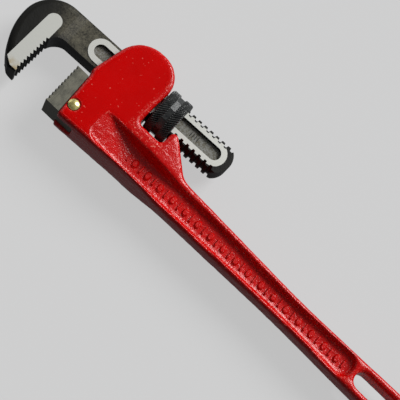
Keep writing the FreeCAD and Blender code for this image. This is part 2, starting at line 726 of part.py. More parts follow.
ridge = sketch_on(nut, "ridge", "YZ_Plane")
ridge_start = -1.25 * pitch
ridge_tip = root + size("thread_gap") + 0.05
tip_half, base_half = 0.55, 1.05
add_loop(ridge, rounded_loop([
    (-ridge_tip, ridge_start - tip_half),
    (-ridge_tip, ridge_start + tip_half),
    (-bore - 0.3, ridge_start + base_half),
    (-bore - 0.3, ridge_start - base_half),
]))
thread = nut.newObject("PartDesign::AdditiveHelix", "nut_thread")
thread.Profile = ridge
thread.ReferenceAxis = (ridge, ["V_Axis"])
thread.Mode = "pitch-height-angle"
bind(thread, "Pitch", "Sheet.pitch")
bind(thread, "Height", "2.5 * Sheet.pitch")
thread.LeftHanded = False
document.recompute()
nut.Placement = screw_placement(quarter_turned=True)

# ---------------------------------------------------------------- springs
# Frame: as the shank's.
flat_spring = make_body("flat_spring")
strip = sketch_on(flat_spring, "strip")
low = size("strip_bottom")
high = low + size("strip_thickness")
reach = size("strip_half_length")
centre_x = size("spring_x")
curl = 0.35
add_loop(strip, [
    Part.Arc(Vector(centre_x - reach, low + curl, 0), Vector(centre_x, low, 0), Vector(centre_x + reach, low + curl, 0)),
    Part.LineSegment(Vector(centre_x + reach, low + curl, 0), Vector(centre_x + reach, high + curl, 0)),
    Part.Arc(Vector(centre_x + reach, high + curl, 0), Vector(centre_x, high, 0), Vector(centre_x - reach, high + curl, 0)),
    Part.LineSegment(Vector(centre_x - reach, high + curl, 0), Vector(centre_x - reach, low + curl, 0)),
])
pad(flat_spring, "strip_pad", strip, "Sheet.strip_width")
rivet_hole = sketch_on(flat_spring, "rivet_hole", "XZ_Plane")
add_circle(rivet_hole, "Sheet.rivet_radius", "Sheet.spring_x", "0")
pocket(flat_spring, "rivet_hole_cut", rivet_hole)
flat_spring.Placement = screw_placement()

# Frame: z along the spring, up from the strip.
spring_base = Placement(Vector(centre_x, 0, 0), Rotation(Vector(1, 0, 0), -90))
spring_rivet = make_body("spring_rivet")
rivet_profile = sketch_on(spring_rivet, "rivet_profile", "XZ_Plane")
shaft = size("rivet_radius")
add_loop(rivet_profile, rounded_loop([
    (0, low + 0.05),
    (shaft, low + 0.05),
    (shaft, high + 0.05),
    (shaft + 0.9, high + 0.05),
    (shaft + 0.9, high + 0.5),
    (shaft, high + 0.95),
    (0, high + 0.95),
]))
turn(spring_rivet, "rivet_solid", rivet_profile)
spring_rivet.Placement = screw_placement().multiply(spring_base)

coil_spring = make_body("coil_spring")
wire = size("wire_radius")
wire_section = sketch_on(coil_spring, "wire_section", "XZ_Plane")
coil_bottom = high + wire + 0.1
coil_top = size("spring_pocket_top") - wire - 0.05
section = wire_section.addGeometry(Part.Circle(Vector(size("coil_radius"), coil_bottom, 0), Vector(0, 0, 1), wire))
wire_section.addConstraint(Sketcher.Constraint("Block", section))
coil = coil_spring.newObject("PartDesign::AdditiveHelix", "coil")
coil.Profile = wire_section
coil.ReferenceAxis = (wire_section, ["V_Axis"])
coil.Mode = "height-turns-angle"
coil.Height = coil_top - coil_bottom
bind(coil, "Turns", "Sheet.coil_turns")
document.recompute()
coil_spring.Placement = screw_placement().multiply(spring_base)

document.recompute()

# ---------------------------------------------------------------- checks and export
for item in document.Objects:
    if "Invalid" in item.State or "Error" in item.State:
        raise RuntimeError("%s is %s" % (item.Name, item.State))
nodes = [handle, heel_jaw, heel_jaw_pin, hook_jaw, nut, flat_spring, coil_spring, spring_rivet]
for node in nodes:
    shape = node.Shape
    if shape.isNull() or not shape.isValid() or len(shape.Solids) != 1:
        raise RuntimeError("%s: %d solids, valid %s" % (node.Label, len(shape.Solids), shape.isValid()))
# Bring the box's middle over the origin.
centring = Placement(Vector(-size("centre_x"), -size("centre_y"), 0), Rotation())
for node in nodes:
    node.Placement = centring.multiply(node.Placement)
os.makedirs("parts", exist_ok=True)
whole = FreeCAD.BoundBox()
for node in nodes:
    node.Shape.exportStep("parts/%s.step" % node.Label)
    whole.add(node.Shape.optimalBoundingBox(True, False))
    print("%-14s volume %9.1f mm3" % (node.Label, node.Shape.Volume))
print("box x %.2f..%.2f  y %.2f..%.2f  z %.2f..%.2f" % (
    whole.XMin, whole.XMax, whole.YMin, whole.YMax, whole.ZMin, whole.ZMax))
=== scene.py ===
"""Pipe wrench on a pale floor: paint, steel finishes, the knurled nut, cast marks and the studio.

All lengths are in metres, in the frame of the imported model: +X runs from the jaws to the end of the
handle, +Y points to the crown of the housing, +Z is the thickness, and the wrench lies on z = 0.
"""

import json
import logging
import math
from collections.abc import Mapping, Sequence
from dataclasses import dataclass, field
from enum import Enum

import bmesh
import bpy
from mathutils import Matrix, Vector, noise

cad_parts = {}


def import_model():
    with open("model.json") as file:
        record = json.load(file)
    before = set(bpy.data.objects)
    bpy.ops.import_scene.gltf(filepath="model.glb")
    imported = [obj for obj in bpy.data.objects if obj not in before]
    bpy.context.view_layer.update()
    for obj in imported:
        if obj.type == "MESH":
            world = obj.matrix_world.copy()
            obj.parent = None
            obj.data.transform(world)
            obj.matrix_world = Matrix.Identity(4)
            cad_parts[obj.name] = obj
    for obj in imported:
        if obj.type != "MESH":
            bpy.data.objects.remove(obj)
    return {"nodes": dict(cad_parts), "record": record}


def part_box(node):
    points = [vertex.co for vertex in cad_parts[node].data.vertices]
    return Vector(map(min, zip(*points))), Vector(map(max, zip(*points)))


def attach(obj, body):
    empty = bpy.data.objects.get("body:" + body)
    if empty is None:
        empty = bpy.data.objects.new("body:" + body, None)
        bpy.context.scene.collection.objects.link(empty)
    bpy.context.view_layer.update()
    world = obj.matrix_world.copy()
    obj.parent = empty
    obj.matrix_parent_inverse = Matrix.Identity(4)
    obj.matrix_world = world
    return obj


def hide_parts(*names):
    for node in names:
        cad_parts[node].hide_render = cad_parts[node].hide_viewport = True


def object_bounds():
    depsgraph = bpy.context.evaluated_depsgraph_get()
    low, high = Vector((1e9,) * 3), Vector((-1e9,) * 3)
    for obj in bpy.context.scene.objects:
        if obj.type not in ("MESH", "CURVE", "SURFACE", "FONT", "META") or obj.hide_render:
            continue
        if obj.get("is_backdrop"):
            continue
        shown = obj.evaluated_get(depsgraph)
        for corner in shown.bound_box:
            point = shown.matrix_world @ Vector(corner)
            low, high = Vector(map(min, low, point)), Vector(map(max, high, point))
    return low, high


LOG = logging.getLogger("pipe_wrench")
MM = 0.001
Socket = bpy.types.NodeSocket
Colour = tuple[float, float, float, float]


class Body(Enum):
    """The bodies that pieces ride on."""

    HANDLE = "handle"
    NUT = "nut"
    HOOK = "hook"


class Slot(Enum):
    """The record's material slots."""

    PAINT = "handle_paint"
    INSERT = "jaw_insert_steel"
    BRASS = "pin_brass"
    FORGING = "forged_steel"
    BLACK = "black_steel"
    SPRING = "spring_steel"


class MarkShape(Enum):
    """Outlines of the cast marks: corners of the shape, and its width as a share of its height."""

    BEAD = (20, 0.66)
    BAR = (4, 0.22)


@dataclass
class Graph:
    """Adds and joins the nodes of one shader or geometry tree."""

    tree: bpy.types.NodeTree

    def add(
        self, kind: str, inputs: Mapping[str | int, object] | None = None, **settings: object
    ) -> bpy.types.Node:
        """Add one node.

        Args:
            kind: Blender's name of the node type.
            inputs: values or sockets for the node's inputs, by name or number.
            **settings: properties of the node itself.

        Returns:
            The new node.
        """
        node = self.tree.nodes.new(kind)
        for key, value in settings.items():
            setattr(node, key, value)
        for key, value in (inputs or {}).items():
            if isinstance(value, Socket):
                self.link(value, node.inputs[key])
            else:
                node.inputs[key].default_value = value
        return node

    def math(self, operation: str, *values: object, clamp: bool = False) -> Socket:
        """Return the result of one arithmetic operation on numbers or sockets."""
        node = self.add("ShaderNodeMath", dict(enumerate(values)), operation=operation, use_clamp=clamp)
        return node.outputs[0]

    def times(self, first: object, second: object) -> Socket:
        """Return the product of two numbers or sockets."""
        return self.math("MULTIPLY", first, second)

    def plus(self, first: object, second: object) -> Socket:
        """Return the sum of two numbers or sockets."""
        return self.math("ADD", first, second)

    def larger(self, first: object, second: object) -> Socket:
        """Return the larger of two numbers or sockets."""
        return self.math("MAXIMUM", first, second)

    def scaled(
        self, value: Socket, low: float, high: float, start: float = 0.0, end: float = 1.0
    ) -> Socket:
        """Return low where the value is start, high where it is end, and in proportion between."""
        limits = {"Value": value, "From Min": start, "From Max": end, "To Min": low, "To Max": high}
        return self.add("ShaderNodeMapRange", limits).outputs[0]

    def moved(self, geometry: Socket, **inputs: object) -> Socket:
        """Return geometry after a Transform node with the inputs that are given."""
        return self.add("GeometryNodeTransform", {"Geometry": geometry, **inputs}).outputs[0]

    def link(self, value: Socket, target: Socket) -> None:
        """Join a value to an input."""
        self.tree.links.new(value, target)

    def ramp(self, value: Socket, low: float, high: float, smooth: bool = True) -> Socket:
        """Return 0 below low and 1 above high, or the other way round where high is less than low.

        Args:
            value: what is compared.
            low: where the ramp is 0.
            high: where the ramp is 1.
            smooth: whether the ramp eases in and out.

        Returns:
            The ramp, from 0 to 1.
        """
        limits = {"Value": value, "From Min": low, "From Max": high, "To Min": 0.0, "To Max": 1.0}
        kind = "SMOOTHSTEP" if smooth else "LINEAR"
        if high < low:
            limits.update({"From Min": high, "From Max": low, "To Min": 1.0, "To Max": 0.0})
        return self.add("ShaderNodeMapRange", limits, interpolation_type=kind).outputs[0]

    def split(self, vector: Socket) -> tuple[Socket, Socket, Socket]:
        """Return the three parts of a vector."""
        node = self.add("ShaderNodeSeparateXYZ", {0: vector})
        return node.outputs[0], node.outputs[1], node.outputs[2]

    def blend(self, share: Socket, first: object, second: object) -> Socket:
        """Mix two colours.

        Args:
            share: how much of the second colour.
            first: a colour or a socket.
            second: a colour or a socket.

        Returns:
            The mixed colour.
        """
        node = self.add("ShaderNodeMix", data_type="RGBA")
        for place, value in ((0, share), (6, first), (7, second)):
            if isinstance(value, Socket):
                self.link(value, node.inputs[place])
            else:
                node.inputs[place].default_value = value
        return node.outputs[2]

    def noise(self, place: Socket, grain: float, detail: float = 2.0, roughness: float = 0.5) -> Socket:
        """Return a noise value whose blotches are about grain metres across."""
        inputs = {"Vector": place, "Scale": 1.0 / grain, "Detail": detail, "Roughness": roughness}
        return self.add("ShaderNodeTexNoise", inputs).outputs[0]


def colour(red: float, green: float, blue: float) -> Colour:
    """Return an opaque colour from its linear parts."""
    return (red, green, blue, 1.0)


@dataclass(frozen=True)
class ShankFrame:
    """The frame of the hook jaw's shank: x along the screw, from the nut's centre."""

    centre: Vector
    tilt: float

    @classmethod
    def from_record(cls, record: Mapping[str, object]) -> "ShankFrame":
        """Read the nut's centre and the screw's tilt from the joint that the nut spins on."""
        spin = next(j for j in record["behaviour"]["joints"] if j["name"] == "nut_spin")
        return cls(Vector(spin["pos_m"]), math.atan2(spin["axis"][1], spin["axis"][0]))

    def coordinates(self, graph: Graph) -> Socket:
        """Return a material's Object coordinates in the shank's frame.

        Args:
            graph: the material's graph.

        Returns:
            The coordinates.
        """
        place = graph.add("ShaderNodeTexCoord").outputs["Object"]
        inputs = {"Vector": place, "Location": self.centre, "Rotation": (0.0, 0.0, self.tilt)}
        return graph.add("ShaderNodeMapping", inputs, vector_type="TEXTURE").outputs[0]


@dataclass(frozen=True)
class Finish:
    """A surface finish, built as a node-based material."""

    name: str

    def build(self) -> bpy.types.Material:
        """Make the material.

        Returns:
            The material.
        """
        material = bpy.data.materials.new(self.name)
        material.use_nodes = True
        graph = Graph(material.node_tree)
        shader = graph.tree.nodes["Principled BSDF"]
        self.fill(graph, shader)
        return material

    def fill(self, graph: Graph, shader: bpy.types.Node) -> None:
        """Set the shader up; each finish has its own way."""
        raise NotImplementedError

    @staticmethod
    def place(graph: Graph) -> Socket:
        """Return Object coordinates."""
        return graph.add("ShaderNodeTexCoord").outputs["Object"]

    @staticmethod
    def bump(
        graph: Graph, height: Socket, depth: float, strength: float, under: Socket | None = None
    ) -> Socket:
        """Return a normal raised by height.

        Args:
            graph: the material's graph.
            height: the height, from 0 to 1.
            depth: metres from the lowest to the highest point.
            strength: share of the effect.
            under: a normal that this one is laid over.

        Returns:
            The normal.
        """
        inputs: dict[str, object] = {"Height": height, "Distance": depth, "Strength": strength}
        if under is not None:
            inputs["Normal"] = under
        return graph.add("ShaderNodeBump", inputs).outputs[0]

    @staticmethod
    def scratches(
        graph: Graph, place: Socket, stretch: tuple[float, float, float], grain: float, roughness: float
    ) -> Socket:
        """Return a noise drawn out along one direction, as fine scratches are.

        Args:
            graph: the material's graph.
            place: the coordinates.
            stretch: scale of each axis, small along the scratches.
            grain: width of a scratch in metres.
            roughness: share of the finer noise.

        Returns:
            The noise, from 0 to 1.
        """
        stretched = graph.add("ShaderNodeMapping", {"Vector": place, "Scale": stretch}).outputs[0]
        return graph.noise(stretched, grain, 3.0, roughness)

    @staticmethod
    def edge_mask(graph: Graph, low: float, high: float) -> Socket:
        """Return 1 on rounded edges, where the surface faces neither straight up nor straight out.

        Args:
            graph: the material's graph.
            low: upward share of the normal where the mask starts.
            high: upward share of the normal where it ends.

        Returns:
            The mask, from 0 to 1.
        """
        facing = graph.add("ShaderNodeTexCoord").outputs["Normal"]
        upward = graph.math("ABSOLUTE", graph.split(facing)[2])
        return graph.times(graph.ramp(upward, low, low + 0.25), graph.ramp(upward, high, high - 0.15))


@dataclass(frozen=True)
class CastPaint(Finish):
    """Gloss enamel over a rough sand casting: smooth on the housing's sides, rough elsewhere."""

    middle: float
    smooth_side: float
    window_side: float
    tint: Colour = colour(0.47, 0.0006, 0.0004)
    deep: Colour = colour(0.44, 0.0005, 0.0003)
    # The pale pink of the painted highlight specks.
    highlight_pink: Colour = colour(0.80, 0.22, 0.17)
    lump: float = 3.2 * MM
    grain: float = 1.3 * MM
    patch: float = 20 * MM
    fleck: float = 2.1 * MM
    relief: float = 0.8 * MM
    window_reach: float = 7 * MM
    edge_reach: float = 0.5 * MM

    def fill(self, graph: Graph, shader: bpy.types.Node) -> None:
        """Build lumps and sand grain as bump, patchy gloss, and pale specks of painted highlight.

        Args:
            graph: the material's graph.
            shader: its Principled shader.
        """
        place = self.place(graph)
        lumps = graph.noise(place, self.lump, 3.0, 0.6)
        sand = graph.noise(place, self.grain, 2.0, 0.55)
        patches = graph.noise(place, self.patch, 2.0)
        height = graph.math("ABSOLUTE", graph.math("SUBTRACT", graph.split(place)[2], self.middle))
        below = graph.ramp(height, self.smooth_side - 0.05 * MM, self.smooth_side - 0.25 * MM)
        along = graph.split(place)[0]
        near_window = graph.ramp(along, self.window_side - self.window_reach, self.window_side)
        rough = graph.larger(graph.larger(below, graph.times(near_window, 0.8)), 0.04)
        at_face = graph.ramp(height, self.smooth_side - self.edge_reach, self.smooth_side)
        # Painted highlight: pale pink specks beside the window, on rounded edges and on the rough skin,
        # and rare pale flecks all over, stand in for gloss catching the light on the bumpy paint.
        window_highlight = graph.times(graph.times(near_window, at_face), 0.8)

        edge_highlight = graph.times(self.edge_mask(graph, 0.20, 1.0), 0.30)
        share = graph.larger(graph.larger(edge_highlight, graph.times(rough, 0.12)), window_highlight)
        specks = graph.ramp(sand, 0.56, 0.68)
        flecks = graph.times(graph.ramp(graph.noise(place, self.fleck, 1.0), 0.71, 0.77), 0.35)
        tone = graph.blend(graph.ramp(patches, 0.35, 0.65), self.deep, self.tint)
        pale = graph.larger(graph.times(specks, share), flecks)
        with_highlights = graph.blend(pale, tone, self.highlight_pink)
        graph.link(with_highlights, shader.inputs["Base Color"])
        graph.link(graph.scaled(lumps, 0.18, 0.32), shader.inputs["Roughness"])
        both = graph.plus(graph.times(lumps, 0.62), graph.times(sand, 0.38))
        cast = self.bump(graph, graph.times(both, rough), self.relief, 0.55)
        graph.link(cast, shader.inputs["Normal"])
        graph.link(cast, shader.inputs["Coat Normal"])
        graph.link(graph.scaled(rough, 0.06, 0.25), shader.inputs["Specular IOR Level"])
        graph.link(graph.times(rough, 0.08), shader.inputs["Coat Weight"])
        shader.inputs["Coat Roughness"].default_value = 0.10


@dataclass(frozen=True)
class JawForging(Finish):
    """Black forging scale with faces ground bright: the jaw's sides and the rim round the pocket."""

    shank: ShankFrame
    rim_start: float
    rim_end: float
    rim_outer: float
    rim_inner: float
    jaw_face: float
    rim_face: float
    toe: float
    spine: float
    neck: float
    throat: float
    scale: Colour = colour(0.007, 0.0068, 0.0055)
    # Olive: the painted light on the neck, and a tone of the pocket's floor.
    olive: Colour = colour(0.098, 0.090, 0.064)
    ground: Colour = colour(0.50, 0.50, 0.46)
    tarnish: Colour = colour(0.36, 0.29, 0.17)
    pocket: Colour = colour(0.20, 0.20, 0.185)
    scored: Colour = colour(0.48, 0.48, 0.45)
    blotch: float = 7 * MM
    pit: float = 1.0 * MM
    scratch: float = 0.5 * MM
    neck_end: tuple[float, float] = (26 * MM, 22 * MM)
    throat_reach: float = 7 * MM
    toe_reach: float = 5 * MM

    def fill(self, graph: Graph, shader: bpy.types.Node) -> None:
        """Blend scale, ground faces, a tarnished toe, the pocket's floor and a painted light on the neck
        by place on the forging.

        Args:
            graph: the material's graph.
            shader: its Principled shader.
        """
        place = self.shank.coordinates(graph)
        along, across, above = graph.split(place)
        height = graph.math("ABSOLUTE", above)
        nearest = graph.math("MINIMUM", graph.larger(along, self.rim_start), self.rim_end)
        beside = graph.math("SUBTRACT", along, nearest)
        reach = graph.math("SQRT", graph.plus(graph.times(beside, beside), graph.times(across, across)))
        on_jaw = graph.math("GREATER_THAN", height, self.jaw_face)
        within = graph.math("LESS_THAN", reach, self.rim_outer)
        in_rim = graph.times(within, graph.math("GREATER_THAN", reach, self.rim_inner))
        on_rim = graph.times(in_rim, graph.math("GREATER_THAN", height, self.rim_face))
        bright = graph.larger(on_jaw, on_rim)
        in_pocket = graph.math("LESS_THAN", reach, self.rim_inner - 0.25 * MM)
        floor = graph.times(in_pocket, graph.math("LESS_THAN", height, self.rim_face))

        blotches = graph.noise(place, self.blotch, 3.0, 0.6)
        pits = graph.noise(place, self.pit, 2.0, 0.6)
        # Painted light: the neck's upward faces, between the spine and the thread and above the throat,
        # are lightened from black scale to olive where light falls on them; the spine and the throat side
        # stay dark.
        facing = graph.split(graph.add("ShaderNodeTexCoord").outputs["Normal"])[2]
        flat = graph.ramp(graph.math("ABSOLUTE", facing), 0.45, 0.95)
        behind_spine = graph.ramp(along, self.spine, self.neck)
        before_thread = graph.ramp(along, *(self.rim_start + end for end in self.neck_end))
        above_throat = graph.ramp(across, self.throat, self.throat + self.throat_reach)
        lit = graph.times(graph.times(flat, graph.times(behind_spine, before_thread)), above_throat)
        mottled = graph.plus(graph.times(blotches, 0.5), graph.times(pits, 0.5))
        grained = graph.scaled(mottled, 0.12, 1.0, start=0.38, end=0.62)
        # The forging's colour: black scale, with the painted light on the neck.
        scale = graph.blend(graph.times(lit, grained), self.scale, self.olive)
        scratches = self.scratches(graph, place, (0.12, 1.0, 1.0), self.scratch, 0.6)
        shade = graph.blend(graph.ramp(scratches, 0.30, 0.70), self.ground, self.scored)
        at_toe = graph.ramp(across, self.toe + self.toe_reach, self.toe)
        shade = graph.blend(graph.times(at_toe, graph.ramp(blotches, 0.32, 0.55)), shade, self.tarnish)
        floor_tone = graph.blend(graph.ramp(pits, 0.35, 0.65), self.pocket, self.olive)
        body = graph.blend(floor, scale, floor_tone)
        graph.link(graph.blend(bright, body, shade), shader.inputs["Base Color"])

        dull = graph.scaled(blotches, 0.36, 0.58)
        satin = graph.scaled(scratches, 0.34, 0.50)
        rough = graph.add("ShaderNodeMix", {0: bright, 2: dull, 3: satin}).outputs[0]
        graph.link(rough, shader.inputs["Roughness"])
        graph.link(graph.times(bright, 0.35), shader.inputs["Metallic"])
        shader.inputs["Specular IOR Level"].default_value = 0.16
        dents = self.bump(graph, blotches, 0.35 * MM, 0.45)
        forged = self.bump(graph, pits, 0.12 * MM, 0.55, dents)
        lines = self.bump(graph, scratches, 0.02 * MM, 0.4)
        vector = graph.add("ShaderNodeMix", data_type="VECTOR")
        for number, value in ((0, bright), (4, forged), (5, lines)):
            graph.link(value, vector.inputs[number])
        graph.link(vector.outputs[1], shader.inputs["Normal"])


@dataclass(frozen=True)
class MachinedSteel(Finish):
    """Steel with blotchy tone, fine scratches along one direction and lighter rounded edges."""

    light: Colour
    dark: Colour
    metal: float
    shine: tuple[float, float]
    stretch: tuple[float, float, float] = (1.0, 0.15, 1.0)
    relief: float = 0.05 * MM
    patch: float = 5.0 * MM
    scratch: float = 0.45 * MM

    def fill(self, graph: Graph, shader: bpy.types.Node) -> None:
        """Blend two tones in blotches, with scratches as bump and a roughness that follows both.

        Args:
            graph: the material's graph.
            shader: its Principled shader.
        """
        place = self.place(graph)
        blotches = graph.noise(place, self.patch, 3.0, 0.6)
        scratches = self.scratches(graph, place, self.stretch, self.scratch, 0.65)
        mixed = graph.plus(graph.times(blotches, 0.6), graph.times(scratches, 0.4))
        tone = graph.blend(graph.ramp(mixed, 0.38, 0.62), self.dark, self.light)
        edge = graph.times(self.edge_mask(graph, 0.30, 0.95), 0.35)
        brighter = colour(*(min(1.0, 1.5 * part) for part in self.light[:3]))
        graph.link(graph.blend(edge, tone, brighter), shader.inputs["Base Color"])
        graph.link(graph.scaled(mixed, *self.shine, start=0.3, end=0.7), shader.inputs["Roughness"])
        shader.inputs["Metallic"].default_value = self.metal
        graph.link(self.bump(graph, scratches, self.relief, 0.5), shader.inputs["Normal"])


@dataclass(frozen=True)
class PaleFloor(Finish):
    """Matt pale paper that glows a little, so that shadows on it stay faint."""

    tint: Colour = colour(0.10, 0.10, 0.101)
    glow: float = 0.51
    grain: float = 2 * MM

    def fill(self, graph: Graph, shader: bpy.types.Node) -> None:
        """Set an even pale colour with a trace of tooth in it.

        Args:
            graph: the material's graph.
            shader: its Principled shader.
        """
        place = self.place(graph)
        tooth = graph.noise(place, self.grain, 2.0)
        shaded = colour(*(0.985 * part for part in self.tint[:3]))
        tone = graph.blend(graph.ramp(tooth, 0.2, 0.8), self.tint, shaded)
        graph.link(tone, shader.inputs["Base Color"])
        shader.inputs["Roughness"].default_value = 0.9
        shader.inputs["Specular IOR Level"].default_value = 0.1
        shader.inputs["Emission Color"].default_value = colour(1.0, 1.0, 1.0)
        shader.inputs["Emission Strength"].default_value = self.glow


def new_object(name: str, mesh: bpy.types.Mesh) -> bpy.types.Object:
    """Put a mesh into the scene as an object at the origin.

    Args:
        name: name of the object.
        mesh: its mesh.

    Returns:
        The object.
    """
    piece = bpy.data.objects.new(name, mesh)
    bpy.context.scene.collection.objects.link(piece)
    return piece


def settle(piece: bpy.types.Object) -> bpy.types.Mesh:
    """Give the object a plain mesh of what its modifiers make, and take them away.

    Args:
        piece: the object.

    Returns:
        The new mesh.
    """
    mesh = bpy.data.meshes.new_from_object(piece.evaluated_get(bpy.context.evaluated_depsgraph_get()))
    piece.modifiers.clear()
    piece.data = mesh
    return mesh


@dataclass
class GeometryRecipe:
    """A Geometry Nodes tree with named inputs, and what bakes it to a plain mesh."""

    name: str
    values: dict[str, object] = field(default_factory=dict)

    KINDS = {int: "NodeSocketInt", float: "NodeSocketFloat", Vector: "NodeSocketVector"}

    def __post_init__(self) -> None:
        """Make the empty tree with its geometry sockets."""
        self.tree = bpy.data.node_groups.new(self.name, "GeometryNodeTree")
        self.tree.interface.new_socket("Geometry", in_out="INPUT", socket_type="NodeSocketGeometry")
        self.tree.interface.new_socket("Geometry", in_out="OUTPUT", socket_type="NodeSocketGeometry")
        self.identifiers: dict[str, str] = {}
        for name, value in self.values.items():
            kind = self.KINDS[type(value)]
            socket = self.tree.interface.new_socket(name, in_out="INPUT", socket_type=kind)
            self.identifiers[name] = socket.identifier
        self.graph = Graph(self.tree)
        self.entry = self.graph.add("NodeGroupInput")

    def socket(self, name: str) -> Socket:
        """Return one of the tree's named inputs."""
        return self.entry.outputs[name]

    def on_shank(self, geometry: Socket) -> Socket:
        """Return geometry moved from the shank's frame to the model's."""
        return self.graph.moved(
            geometry, Translation=self.socket("Shank centre"), Rotation=self.socket("Shank tilt")
        )

    def close(self, geometry: Socket, material: bpy.types.Material) -> None:
        """End the tree: real geometry with its material.

        Args:
            geometry: what the tree has made.
            material: the finish of all of it.
        """
        real = self.graph.add("GeometryNodeRealizeInstances", {0: geometry}).outputs[0]
        dressed = self.graph.add("GeometryNodeSetMaterial", {0: real})
        dressed.inputs["Material"].default_value = material
        self.graph.add("NodeGroupOutput", {0: dressed.outputs[0]})

    def bake(self, name: str, start: bpy.types.Mesh, material: bpy.types.Material) -> bpy.types.Object:
        """Evaluate the tree and keep the result as a plain mesh.

        Args:
            name: name of the piece.
            start: the mesh that goes in.
            material: the finish of the whole piece.

        Returns:
            The piece, at the origin, with no modifier.
        """
        piece = new_object(name, start)
        modifier = piece.modifiers.new(self.name, "NODES")
        modifier.node_group = self.tree
        for key, value in self.values.items():
            modifier[self.identifiers[key]] = value[:] if isinstance(value, Vector) else value
        mesh = settle(piece)
        if not mesh.materials:
            mesh.materials.append(material)
        return piece


@dataclass
class CadNode:
    """A CAD node that stays as it is and gets a better finish."""

    name: str
    finish: bpy.types.Material

    def dress(self, nodes: Mapping[str, bpy.types.Object]) -> None:
        """Assign the finish to every material slot of the node's object.

        Args:
            nodes: the CAD nodes' objects by name.
        """
        shown = nodes[self.name]
        for holder in shown.material_slots:
            holder.link = "OBJECT"
            holder.material = self.finish
        LOG.info("%s dressed with %s", self.name, self.finish.name)


